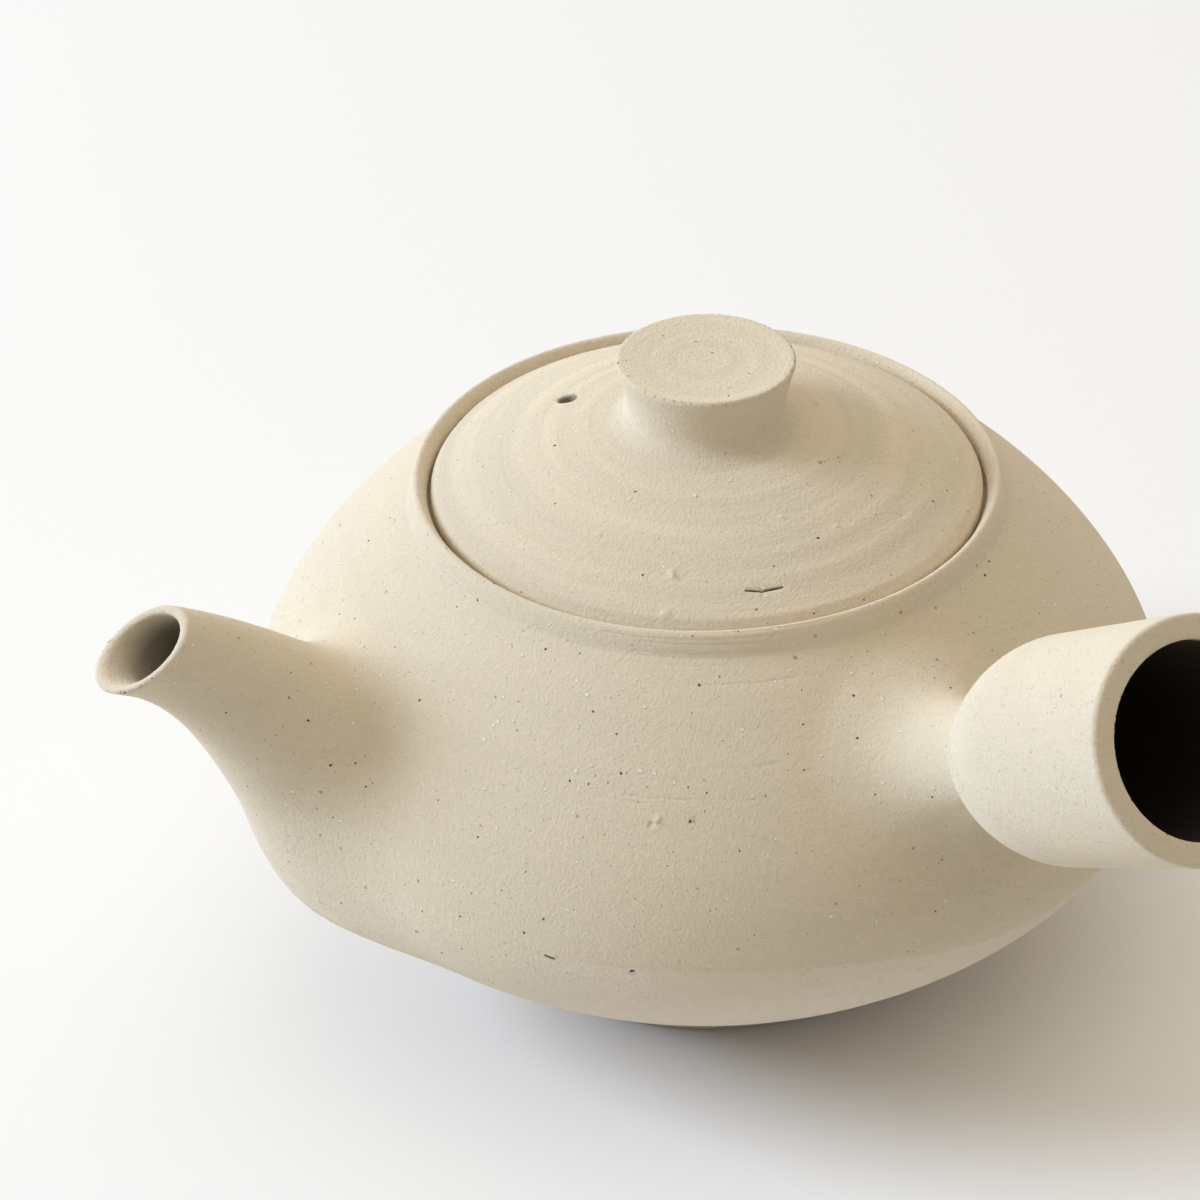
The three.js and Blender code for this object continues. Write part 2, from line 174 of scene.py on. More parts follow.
# Pot body, as it leaves the wheel
pot = {
    "baseRadius": 32.4,
    "baseBevel": 1.2,
    "bellyHeight": 33.5,
    "footAngle": 40.6,
    "footReach": 16.6,
    "bellyFullness": 12,
    "shoulderAngle": 36.3,
    "shoulderReach": 13,
    "lipRise": 3.5,
    "lipFlare": 1.4,
    "lipRound": 0.7,
    "wall": 3.2,
    "floor": 4,
    "floorCove": 1.5,
    "seatRadius": 38.2,
    "galleryDepth": 3.8,
    "galleryWidth": 5,
    "galleryThickness": 3,
    "wobble": 0.16,  # how far the wall strays from a true circle
    "lipWave": 0.3,
    "trimHeight": 34.4,  # below this line the wall was trimmed, and is smoother
    "trimDip": 5.6,  # how far the line runs down beside the handle
    "trimDipPlace": (20, -60),
    "trimDipWidth": 26,
    "trimDepth": 0.12,
    "trimFade": (-54, -40),  # the line fades towards the spout
    "marks": [
        (-137.1, 34, 1.1, -14, 0.15, -0.5),
        (-136.9, 34.3, 1, -10, 0.25, 0.15),
        (-127.1, 33.6, 0.4, 8, 0.12, -0.4),
        (-174.5, 23.4, 0.7, -20, 0.14, -0.5),
        (-171, 28.2, 0.2, 0, 0.4, 0.22),
        (-125.5, 52.1, 0.4, 40, 0.3, -0.25),
        (-124.9, 52.6, 0.5, 30, 0.35, 0.25),
        (-120.2, 52.6, 0.5, 20, 0.13, -0.4),
        (-131, 54.3, 9, -1.5, 0.16, -0.07),
        (-125, 54.8, 9, -1, 0.16, -0.07),
        (-119, 71.1, 36, 0, 0.16, -0.08),
        (-121, 70.3, 24, 0.5, 0.16, -0.08),
        (-112, 69.6, 26, -0.5, 0.16, -0.07),
        (-118, 68.4, 20, 0.4, 0.16, -0.06),
        (-124, 67.2, 14, 0, 0.16, -0.05),
        (-112, 65.6, 14, 0, 0.16, -0.06),
        (-106.1, 33.4, 0.4, 0, 0.35, -0.3),
        (-94.9, 47.1, 3.5, 20, 0.3, -0.1),
        (-109, 58, 2.5, 5, 0.25, -0.08),
    ],
}
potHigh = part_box("pot_body")[1] * 1000
bellyRadius, lipHeight = potHigh.x, potHigh.z
lipRadius = pot["seatRadius"] + pot["lipFlare"]
ledgeHeight = lipHeight - pot["galleryDepth"]
throatRadius = pot["seatRadius"] - pot["galleryWidth"]
farIn = -80  # outlines close well past the axis, so that the axis itself is no edge


def potWall():
    rise, fall = math.radians(pot["footAngle"]), math.radians(pot["shoulderAngle"])
    foot = np.array([pot["baseRadius"], pot["baseBevel"]])
    belly = np.array([bellyRadius, pot["bellyHeight"]])
    lipFoot = np.array([lipRadius + pot["lipFlare"], lipHeight - pot["lipRise"]])
    fullness = np.array([0, pot["bellyFullness"]])
    footEnd = foot + pot["footReach"] * np.array([math.cos(rise), math.sin(rise)])
    shoulder = lipFoot + pot["shoulderReach"] * np.array([math.cos(fall), -math.sin(fall)])
    lower = bezier(foot, footEnd, belly - fullness, belly, 28)
    upper = bezier(belly, belly + fullness, shoulder, lipFoot, 28)
    return np.concatenate([lower, upper[1:]])


def potOutlines():
    wall = potWall()
    lipRound = pot["lipRound"]
    lip = smoothLine(
        [
            wall[-1],
            (lipRadius + lipRound, lipHeight - lipRound),
            (lipRadius, lipHeight),
            (lipRadius - lipRound, lipHeight - lipRound),
            (pot["seatRadius"], lipHeight - 2 * lipRound - pot["lipFlare"] / 2),
        ],
        32,
    )
    bottomEdge = pot["baseRadius"] - pot["baseBevel"]
    bevel = smoothLine([(bottomEdge - 1, 0.01), (bottomEdge, 0.05), (bottomEdge + 0.8, 0.5), wall[0]], 9)
    outside = np.concatenate([[(farIn, 0.01)], bevel, wall[1:], lip[1:17], [(farIn, lipHeight)]])
    underLedge = ledgeHeight - pot["galleryThickness"]
    inside = shifted(wall, -pot["wall"])
    keep = (inside[:, 1] > pot["floor"] + pot["floorCove"]) & (inside[:, 1] < underLedge - 0.8)
    inside = inside[keep][::-1]
    cove = inside[-1]
    hollow = np.concatenate(
        [
            [(farIn, lipHeight + 20), (lipRadius, lipHeight + 20)],
            lip[16:],
            [(pot["seatRadius"], ledgeHeight), (throatRadius, ledgeHeight), (throatRadius, underLedge)],
            inside,
            smoothLine([cove, (cove[0] - 1.6, cove[1] - 1.1), (cove[0] - 4, pot["floor"])], 6)[1:],
            [(farIn, pot["floor"])],
        ]
    )
    return outside, hollow


# Spout: a thrown cone, bent, cut on a slant and wiped on to the belly
spout = {
    "rootInset": 15.9,
    "rootHeight": 33.6,
    "overhang": 20.1,
    "tipHeight": 68.8,
    "rootRadius": 19,
    "tipRadius": 6.25,
    "taper": 1.5,
    "rootAngle": 39,
    "tipAngle": 26,
    "mouthAngle": 58,
    "wall": 2.6,
    "thinWall": 1.9,
    "lip": 1.05,
    "lipRound": 0.35,
    "endAngle": 42.7,  # where the root ends inside the pot
    "endOffset": 1.7,
    "endRound": 6.6,
    "filletBelow": 11,
    "filletAbove": 8,
    "filletHeights": (24, 50),  # from the one to the other
    "openingRadius": 11.5,
    "openingHeight": 37,
}


def spoutLine():
    root = np.array([bellyRadius - spout["rootInset"], spout["rootHeight"]])
    tip = np.array([bellyRadius + spout["overhang"], spout["tipHeight"]])
    reach = np.linalg.norm(tip - root) / 3
    rootAngle, tipAngle = math.radians(spout["rootAngle"]), math.radians(spout["tipAngle"])
    leaving = reach * np.array([math.cos(rootAngle), math.sin(rootAngle)])
    arriving = reach * np.array([math.cos(tipAngle), math.sin(tipAngle)])
    line = bezier(root, root + leaving, tip - arriving, tip, 40)
    return np.concatenate([line, [tip + arriving]]), tip


# Handle: a hollow horn, thrown by itself, with a neck, a round shoulder and an open end
handle = {
    "azimuth": -84,
    "riseAngle": 32,
    "axisHeight": 20.5,
    "reach": 62.35,
    "endRadius": 15.55,
    "shoulderRadius": 14.8,
    "neckRadius": 6.4,
    "rootRadius": 12,
    "barrel": 28,
    "shoulder": 21.2,
    "flare": 15.8,
    "wall": 3.2,
    "rimRound": 0.6,
    "fillet": 6,
}
azimuth, riseAngle = math.radians(handle["azimuth"]), math.radians(handle["riseAngle"])
handleAxis = np.array(
    [math.cos(azimuth) * math.cos(riseAngle), math.sin(azimuth) * math.cos(riseAngle), math.sin(riseAngle)]
)
handleFoot = np.array([0, 0, handle["axisHeight"]])
handleEnd = bellyRadius + handle["reach"]


def handleOutlines():
    shoulder = handleEnd - handle["barrel"]
    neck = shoulder - handle["shoulder"]
    root = neck - handle["flare"]
    u = np.linspace(0, 1, 13)[:-1]
    narrow, wide = handle["neckRadius"], handle["shoulderRadius"]
    flare = np.stack([narrow + (handle["rootRadius"] - narrow) * (1 - u) ** 2, root + (neck - root) * u], 1)
    u = np.linspace(0, 1, 21)
    swell = np.stack([narrow + (wide - narrow) * np.sin(u * math.pi / 2), neck + (shoulder - neck) * u], 1)
    rimRound, radius = handle["rimRound"], handle["endRadius"]
    turn = np.linspace(0, math.pi / 2, 9)
    sideways = rimRound * np.cos(turn)
    onward = handleEnd - rimRound + rimRound * np.sin(turn)
    edge = np.stack([radius - rimRound + sideways, onward], 1)
    start = [(farIn, root - 12), (flare[0, 0], root - 12)]
    outside = np.concatenate([start, flare, swell, edge, [(farIn, handleEnd)]])
    bore = radius - handle["wall"]
    mouth = np.stack([bore + rimRound - sideways, onward], 1)
    walls = smoothLine(
        [
            (bore, handleEnd - handle["barrel"] / 2),
            (wide - handle["wall"], shoulder),
            ((wide + narrow) / 2 - handle["wall"], (shoulder + neck) / 2),
            (narrow - handle["wall"], neck),
            (narrow - handle["wall"], root),
        ],
        24,
    )
    above = [(farIn, handleEnd + 9), (bore + rimRound, handleEnd + 9)]
    hollow = np.concatenate([above, mouth[::-1], walls, [(farIn, root)]])
    return outside, hollow


potOutside, potHollow = potOutlines()
spoutMiddle, spoutTip = spoutLine()
handleOutside, handleHollow = handleOutlines()


def trimLine(x, y):
    away = np.hypot(x - pot["trimDipPlace"][0], y - pot["trimDipPlace"][1]) / pot["trimDipWidth"]
    return pot["trimHeight"] - pot["trimDip"] * np.exp(-(away**2))


def spoutBeyond(x, z):  # how far a place lies past the plane of the spout's mouth
    mouth = math.radians(spout["mouthAngle"])
    return (-x - spoutTip[0]) * math.cos(mouth) + (z - spoutTip[1]) * math.sin(mouth)


def bodyFields(places):
    x, y, z = places.T
    turn = np.arctan2(y, x)
    stray = (2 + np.sin(3 * turn + 0.6) + np.sin(2 * turn + 2.1 + z / 25)) / 4  # slow waves, 0 to 1
    fadeStart, fadeEnd = pot["trimFade"]
    trimmed = np.clip((trimLine(x, y) - z) / 0.5, 0, 1) * np.clip(z / 10, 0, 1)
    trimmed *= np.clip((x - fadeStart) / (fadeEnd - fadeStart), 0, 1)
    radius = np.hypot(x, y) + pot["wobble"] * stray + pot["trimDepth"] * trimmed
    nearLip = np.clip((z - ledgeHeight) / pot["galleryDepth"], 0, 1)
    wave = (2 + np.sin(2 * turn + 0.4) + np.sin(5 * turn + 1.3)) / 4
    height = z + pot["lipWave"] * wave * nearLip
    return outlineField(potOutside, radius, height), outlineField(potHollow, radius, height)


def spoutFields(places):
    outer, bore = np.full(len(places), 99.0), np.full(len(places), 99.0)
    near = places[:, 0] < -20
    x, y, z = places[near].T
    distance, where, _ = nearest(spoutMiddle, -x, z, False)
    t = np.clip(where / (len(spoutMiddle) - 2), 0, 1)
    radius = spout["tipRadius"] + (spout["rootRadius"] - spout["tipRadius"]) * (1 - t) ** spout["taper"]
    away = np.hypot(distance, y)
    beyond = spoutBeyond(x, z)
    outer[near] = cut(away - radius, -beyond, spout["lipRound"])
    end = math.radians(spout["endAngle"])
    fromEnd = (-x - spoutMiddle[0, 0]) * math.cos(end) + (z - spoutMiddle[0, 1]) * math.sin(end)
    outer[near] = cut(outer[near], fromEnd - spout["endOffset"], spout["endRound"])
    wall = spout["wall"] + (spout["thinWall"] - spout["wall"]) * t
    wall += (spout["lip"] - spout["thinWall"]) * np.clip(1 + beyond / 4, 0, 1) ** 2  # drawn thin at the mouth
    bore[near] = away - radius + wall
    return outer, bore


def handleFields(places):
    outer, bore = np.full(len(places), 99.0), np.full(len(places), 99.0)
    near = places[:, 1] < -30
    offset = places[near] - handleFoot
    along = offset @ handleAxis
    away = np.linalg.norm(offset - along[:, None] * handleAxis, axis=1)
    outer[near] = outlineField(handleOutside, away, along)
    bore[near] = outlineField(handleHollow, away, along)
    return outer, bore


# How soft an edge is where a hollow comes out of the clay, in millimetres
softness = {"pot": 0.2, "spout": 0.5, "handle": 0.3, "opening": 0.8, "hole": 0.4, "vent": 0.5}


def potField(places):
    body, hollow = bodyFields(places)
    spoutOuter, spoutBore = spoutFields(places)
    handleOuter, handleBore = handleFields(places)
    filletLow, filletHigh = spout["filletHeights"]
    rise = np.clip((places[:, 2] - filletLow) / (filletHigh - filletLow), 0, 1)
    fillet = spout["filletBelow"] + (spout["filletAbove"] - spout["filletBelow"]) * rise
    clay = joined(body, spoutOuter, fillet)
    clay = joined(clay, handleOuter, handle["fillet"])
    x, y, z = places.T
    clay = marked(clay, pot["marks"], np.arctan2(y, x), np.hypot(x, y), z)
    clay = cut(clay, hollow, softness["pot"])
    clay = cut(clay, np.maximum(spoutBore, -body), softness["spout"])
    clay = cut(clay, np.maximum(handleBore, -body + 1), softness["handle"])  # stops 1 mm off the wall
    opening = np.hypot(places[:, 1], places[:, 2] - spout["openingHeight"]) - spout["openingRadius"]
    opening = np.maximum(opening, places[:, 0] + bellyRadius * 0.75)
    return cut(clay, np.maximum(opening, np.minimum(body, spoutBore)), softness["opening"])


# Meshing: nodes are sampled coarse to fine near the surface only, each crossed cell gets a point,
# and the points then settle on the surface itself
def sampled(field, low, counts, step):
    values, wanted = None, None
    for size in (8, 2, 1):
        shape = tuple(n // size for n in counts)
        if values is None:
            values, wanted = np.zeros(shape), np.ones(shape, bool)
        else:
            grow = shape[0] // values.shape[0]
            wanted = np.abs(values) < lastSize * step * 1.15
            values = values.repeat(grow, 0).repeat(grow, 1).repeat(grow, 2)
            wanted = wanted.repeat(grow, 0).repeat(grow, 1).repeat(grow, 2)
        cells = np.argwhere(wanted)
        values[wanted] = field(low + step * (cells * size + (size - 1) / 2))
        lastSize = size
    return values


def skinOf(field, low, high, step):
    counts = [8 * math.ceil((b - a + 4 * step) / (8 * step)) for a, b in zip(low, high)]
    low = np.array(low, float) - 2 * step
    values = sampled(field, low, counts, step)
    inside = values < 0
    corners = [(i, j, k) for i in (0, 1) for j in (0, 1) for k in (0, 1)]
    part = lambda grid, c: grid[tuple(slice(c[a], grid.shape[a] - 1 + c[a]) for a in range(3))]
    total = sum(part(inside, c).astype(int) for c in corners)
    cells = np.argwhere((total > 0) & (total < 8))
    ids = np.full(total.shape, -1)
    ids[tuple(cells.T)] = np.arange(len(cells))
    places, hits = np.zeros((len(cells), 3)), np.zeros(len(cells))
    for a in corners:
        for axis in range(3):
            if a[axis]:
                continue
            b = tuple(1 if n == axis else a[n] for n in range(3))
            first = values[tuple((cells + a).T)]
            second = values[tuple((cells + b).T)]
            crossed = (first < 0) != (second < 0)
            share = first[crossed] / (first[crossed] - second[crossed])
            places[crossed] += np.array(a) + share[:, None] * (np.array(b) - np.array(a))
            hits += crossed
    places = low + step * (cells + places / hits[:, None])
    faces = []
    for axis in range(3):
        u, v = np.eye(3, dtype=int)[(axis + 1) % 3], np.eye(3, dtype=int)[(axis + 2) % 3]
        change = np.diff(inside.astype(int), axis=axis)
        for sign in (-1, 1):
            nodes = np.argwhere(change == sign)
            quad = np.stack([ids[tuple((nodes - s).T)] for s in (u + v, v, 0 * u, u)], 1)
            faces.append(quad if sign < 0 else quad[:, ::-1])
    return places, np.concatenate(faces)


def settled(field, places, rounds):  # each point moves down the field's slope on to the surface
    reach = 0.01
    for _ in range(rounds):
        value = field(places)
        slope = np.stack([field(places + reach * side) - value for side in np.eye(3)], 1) / reach
        steep = np.maximum((slope**2).sum(1), 0.2)
        places = places - np.clip(value / steep, -1, 1)[:, None] * slope
    return places


def relaxed(places, faces):  # each point moves half way to the middle of its neighbours
    ends = np.concatenate([faces[:, [n, (n + 1) % 4]] for n in range(4)])
    ends = np.concatenate([ends, ends[:, ::-1]])
    count = np.bincount(ends[:, 0], minlength=len(places))
    middle = np.stack([np.bincount(ends[:, 0], places[ends[:, 1], n], len(places)) for n in range(3)], 1)
    return (places + middle / count[:, None]) / 2


# A skin of clay as an object. Its edges are halved where they are long for the fineness asked for, and
# the last argument gives painted shade: darker the further a place lies down a bore or a slit, standing in
# for the shade that falls there.
def clayPiece(name, field, low, high, step, fineness, paintedShade):
    places, faces = skinOf(field, low, high, step)
    for _ in range(2):  # evens out the faces
        places = settled(field, relaxed(places, faces), 1)
    places = settled(field, places, 2)
    mesh = bpy.data.meshes.new(name)
    mesh.from_pydata(places, [], faces.tolist())
    work = bmesh.new()
    work.from_mesh(mesh)
    for _ in range(4):
        work.verts.ensure_lookup_table()
        ends = np.array([(e.verts[0].index, e.verts[1].index) for e in work.edges])
        spots = np.array([v.co for v in work.verts])
        lengths = np.linalg.norm(spots[ends[:, 0]] - spots[ends[:, 1]], axis=1)
        long = lengths > 1.5 * fineness(spots[ends].mean(1))
        chosen = [e for e, wanted in zip(work.edges, long) if wanted]
        before = len(work.verts)
        bmesh.ops.subdivide_edges(work, edges=chosen, cuts=1, use_grid_fill=True)
        work.verts.ensure_lookup_table()
        work.verts.index_update()
        added = np.array([v.co for v in work.verts[before:]]).reshape(-1, 3)
        for vert, place in zip(work.verts[before:], settled(field, added, 3)):
            vert.co = place
    spots = np.array([v.co for v in work.verts])
    bmesh.ops.scale(work, vec=(0.001,) * 3, verts=work.verts)
    work.to_mesh(mesh)
    work.free()
    # each point keeps its painted shade, for the material to darken the clay with
    mesh.attributes.new("paintedShade", "FLOAT", "POINT").data.foreach_set("value", paintedShade(spots).astype(np.float32))
    mesh.shade_smooth()
    item = bpy.data.objects.new(name, mesh)
    bpy.context.scene.collection.objects.link(item)
    print(name, len(mesh.vertices), "points,", len(mesh.polygons), "faces")
    return item


fineEdge = 0.3  # length of a mesh edge at rims and the trimming line, in millimetres
coarse = 9  # longer than any edge, so that nothing is halved


def potFineness(places):
    x, y, z = places.T
    radius = np.hypot(x, y)
    lip = (z > ledgeHeight - 1) & (radius < lipRadius + 2) & (radius > throatRadius - 1)
    tip = np.hypot(np.hypot(-x - spoutTip[0], z - spoutTip[1]), y)
    spoutRim = (tip < 10) & (np.abs(spoutBeyond(x, z)) < 1.6)
    handleRim = np.abs((places - handleFoot) @ handleAxis - handleEnd + 0.7) < 1.6
    base = (z < 1.6) & (radius > pot["baseRadius"] - 3)
    trim = np.abs(z - trimLine(x, y)) < 0.7
    edges = np.where(lip | spoutRim | handleRim | base | trim, fineEdge, coarse)
    return np.minimum(edges, markFineness(pot["marks"], np.arctan2(y, x), radius, z))


# Painted shade: how dark the clay is painted down the handle's bore, inside the spout, in the slits and in
# the vent, where shade falls
paintedShadeDarkness = {
    "handle": 1,
    "handleDepth": 2.5,  # from full light to this darkness, in millimetres
    "spout": 0.6,
    "spoutDepth": 4,
    "slit": 0.9,
    "vent": 0.5,
}


# painted shade for the pot: down the handle's bore, inside the spout's mouth and in its slits
def potPaintedShade(places):
    x, y, z = places.T
    _, spoutBore = spoutFields(places)
    _, handleBore = handleFields(places)
    along = (places - handleFoot) @ handleAxis
    inHandle = np.clip((handleEnd - handle["rimRound"] - along) / paintedShadeDarkness["handleDepth"], 0, 1)
    paintedShade = paintedShadeDarkness["handle"] * inHandle * (np.abs(handleBore) < 0.6)
    inSpout = np.clip((-0.4 - spoutBeyond(x, z)) / paintedShadeDarkness["spoutDepth"], 0, 1)
    inSpout *= (np.abs(spoutBore) < 0.5) & (-x > bellyRadius - 6)
    paintedShade = np.maximum(paintedShade, paintedShadeDarkness["spout"] * inSpout)
    for mark in pot["marks"]:
        if mark[-1] < slitRise:
            gap = markGap(mark, np.arctan2(y, x), np.hypot(x, y), z)
            paintedShade = np.maximum(paintedShade, paintedShadeDarkness["slit"] * np.clip(1.8 - gap, 0, 1))
    return paintedShade


# Strainer: a perforated dome behind the spout
strainer = {"radius": 17, "bulge": 11, "wall": 1.8, "hole": 1.9, "rings": 4, "ringStep": 3.1, "ringHoles": 6}
strainerMiddle = np.array(
    [
        -(bellyRadius - pot["wall"] + strainer["radius"] - strainer["bulge"] - strainer["wall"]),
        0,
        spout["openingHeight"],
    ]
)


def strainerHoles():
    directions = []
    for ring in range(strainer["rings"] + 1):
        polar = ring * strainer["ringStep"] / strainer["radius"]
        count = max(1, ring * strainer["ringHoles"])
        for n in range(count):
            turn = 2 * math.pi * (n + ring / 2) / count
            side, up = math.sin(polar) * math.sin(turn), math.sin(polar) * math.cos(turn)
            directions.append([math.cos(polar), side, up])
    return np.array(directions)


holeDirections = strainerHoles()


def strainerField(places):
    offset = places - strainerMiddle
    away = np.linalg.norm(offset, axis=1)
    shell = np.abs(away - strainer["radius"] + strainer["wall"] / 2) - strainer["wall"] / 2
    along = offset @ holeDirections.T
    aside = np.sqrt(np.maximum(away[:, None] ** 2 - along**2, 0)).min(1)
    hollow = outlineField(potHollow, np.hypot(places[:, 0], places[:, 1]), places[:, 2])
    shell = np.maximum(shell, hollow - 0.2)
    return cut(shell, aside - strainer["hole"] / 2, softness["hole"])


# Lid: a low dome with a flange underneath and a turned knob
lid = {
    "radius": 37.6,
    "edge": 2.7,
    "rise": 10,
    "thickness": 3.2,
    "seatGap": 0.3,
    "flangeThickness": 2.4,
    "flangeDepth": 6.4,
    "flangeGap": 0.6,
    "edgeRound": 0.9,
    "underRound": 0.5,
    "ventRadius": 1.25,
    "ventDistance": 21,
    "ventAzimuth": 126.6,
    "ringDepth": 0.055,
    "ringSpacing": 3.6,
    "marks": [
        (-107.3, 33.1, 2.1, 10, 0.13, -0.35),
        (-103.2, 33.2, 2.8, -3, 0.13, -0.35),
        (-126.7, 30.7, 0.5, 60, 0.45, 0.3),
        (-125.9, 31.2, 0.4, 20, 0.3, 0.15),
        (-126.7, 36.2, 0.3, 0, 0.45, 0.25),
        (-8.6, 15.7, 0.3, 0, 0.5, 0.3),
        (-92.6, 23.2, 0.1, 0, 0.35, 0.15),
        (-78.8, 27.2, 0.1, 0, 0.35, 0.15),
        (-60, 30.5, 0.3, 40, 0.3, -0.2),
        (-150, 27, 0.3, 20, 0.3, 0.16),
    ],
}
knob = {
    "topRadius": 12.1,
    "waistRadius": 10.7,
    "height": 8.6,
    "side": 6.8,  # from the top down to the waist
    "rim": 0.35,
    "dish": 0.4,
    "fillet": 2.4,
}
lidSeat = ledgeHeight + lid["seatGap"]
lidEdgeTop = lidSeat + lid["edge"]
lidSphere = (lid["radius"] ** 2 + lid["rise"] ** 2) / (2 * lid["rise"])


def domeHeight(distance, inset=0):
    return lidEdgeTop + lid["rise"] - lidSphere + np.sqrt((lidSphere - inset) ** 2 - distance**2)


def lidOutline():
    radius = lid["radius"]
    top = domeHeight(0) + knob["height"]
    waist, wide = knob["waistRadius"], knob["topRadius"]
    rim, foot = knob["rim"], waist + knob["fillet"]
    knobSide = smoothLine(
        [
            (0, top - knob["dish"]),
            (wide - 3, top - knob["dish"] / 2),
            (wide - rim, top),
            (wide, top - rim),
            (wide - 0.15, top - 3 * rim),
            (waist + 0.4, top - knob["side"] * 0.6),
            (waist, top - knob["side"]),
            (waist + 0.2, top - knob["side"] - 1),
            (waist + 1, domeHeight(waist + 1) + 0.6),
            (foot, domeHeight(foot) + 0.05),
            (foot + 1, domeHeight(foot + 1)),
        ],
        60,
    )
    spread = np.linspace(foot + 2, radius - 1.6, 22)
    dome = np.stack([spread, domeHeight(spread)], 1)
    edge = smoothLine(
        [
            (radius - lid["edgeRound"], domeHeight(radius - lid["edgeRound"])),
            (radius - 0.12, lidEdgeTop - 0.6),
            (radius, lidEdgeTop - 1.3),
            (radius, lidSeat + lid["underRound"]),
            (radius - lid["underRound"], lidSeat),
        ],
        16,
    )
    outer = throatRadius - lid["flangeGap"]
    inner = outer - lid["flangeThickness"]
    end = lidSeat - lid["flangeDepth"]
    flange = smoothLine([(outer, end + 1), (outer - 0.2, end + 0.3), (outer - 0.8, end)], 6)
    flangeIn = smoothLine([(inner + 0.8, end), (inner + 0.2, end + 0.3), (inner, end + 1)], 6)
    under = np.linspace(inner - 1.5, 0, 16)
    inside = np.stack([under, domeHeight(under, lid["thickness"])], 1)
    cove = [(inner, domeHeight(inner, lid["thickness"]) - 1.2)]
    close = [(farIn, inside[-1, 1]), (farIn, top - knob["dish"])]
    return np.concatenate([knobSide, dome, edge, [(outer, lidSeat)], flange, flangeIn, cove, inside, close])


lidShape = lidOutline()
ventAzimuth = math.radians(lid["ventAzimuth"])
ventPlace = lid["ventDistance"] * np.array([math.cos(ventAzimuth), math.sin(ventAzimuth)])


def lidField(places):
    x, y, z = places.T
    turn = np.arctan2(y, x)
    radius = np.hypot(x + 0.1 * np.sin(turn), y)
    clay = outlineField(lidShape, radius, z)
    drift = radius + 0.5 * np.sin(turn + 0.8)
    rings = np.sin(2 * math.pi * drift / lid["ringSpacing"]) * np.sin(drift / 5.3 + turn / 2)
    onDome = np.clip((radius - 15) / 4, 0, 1) * np.clip((lid["radius"] - 1.5 - radius) / 3, 0, 1)
    onDome *= z > lidSeat + 2
    clay = clay - lid["ringDepth"] * rings * onDome
    clay = np.where(z > lidSeat + 1, marked(clay, lid["marks"], turn, radius, radius), clay)
    vent = np.hypot(x - ventPlace[0], y - ventPlace[1]) - lid["ventRadius"]
    return cut(clay, np.maximum(vent, lidSeat - z), softness["vent"])


def lidFineness(places):
    x, y, z = places.T
    radius = np.hypot(x, y)
    edge = (radius > lid["radius"] - 2) | ((z < lidSeat - lid["flangeDepth"] + 2) & (radius > 25))
    vent = np.hypot(x - ventPlace[0], y - ventPlace[1]) < 2.6
    knobEdge = (z > domeHeight(0) + knob["height"] - 4 * knob["rim"]) & (radius > knob["topRadius"] - 1)
    edges = np.where(edge | vent | knobEdge, fineEdge, coarse)
    marks = markFineness(lid["marks"], np.arctan2(y, x), radius, radius)
    return np.where(z > lidSeat + 1, np.minimum(edges, marks), edges)


# painted shade on the wall of the lid's vent
def lidPaintedShade(places):
    away = np.hypot(*(places[:, :2] - ventPlace).T)
    return paintedShadeDarkness["vent"] * (away < lid["ventRadius"] + 0.1)


margin = 0.5  # round each piece's box
meshStep = {"pot": 0.8, "strainer": 0.45, "lid": 0.8}
spoutReach, handleReach = (np.array(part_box(node)) * 1000 for node in ("spout", "handle"))
potLow = (spoutReach[0, 0] - margin, handleReach[0, 1] - margin, -margin)
potTop = (bellyRadius + margin, bellyRadius + margin, handleReach[1, 2] + margin)
potSkin = clayPiece("pot_skin", potField, potLow, potTop, meshStep["pot"], potFineness, potPaintedShade)
strainerLow, strainerHigh = (np.array(corner) * 1000 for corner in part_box("strainer"))
strainerSkin = clayPiece(
    "strainer_skin",
    strainerField,
    strainerLow - margin,
    strainerHigh + margin,
    meshStep["strainer"],
    lambda places: np.full(len(places), coarse),
    lambda places: np.zeros(len(places)),
)
lidLow, lidHigh = (np.array(corner) * 1000 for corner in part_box("lid"))
lidHigh[2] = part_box("lid_knob")[1].z * 1000
lidSkin = clayPiece(
    "lid_skin", lidField, lidLow - margin, lidHigh + margin, meshStep["lid"], lidFineness, lidPaintedShade
)


# Materials
def linear(colour):  # sRGB hex to linear
    parts = [int(colour[n : n + 2], 16) / 255 for n in (1, 3, 5)]
    return [p / 12.92 if p <= 0.04045 else ((p + 0.055) / 1.055) ** 2.4 for p in parts] + [1]


def addNode(tree, kind, settings=None, links=None):  # a number as key is a socket's place
    node = tree.nodes.new("ShaderNode" + kind)
    for key, value in (settings or {}).items():
        if isinstance(key, int) or key in node.inputs:
            node.inputs[key].default_value = linear(value) if isinstance(value, str) else value
        else:
            setattr(node, key, value)
    for key, source in (links or {}).items():
        tree.links.new(source, node.inputs[key])
    return node


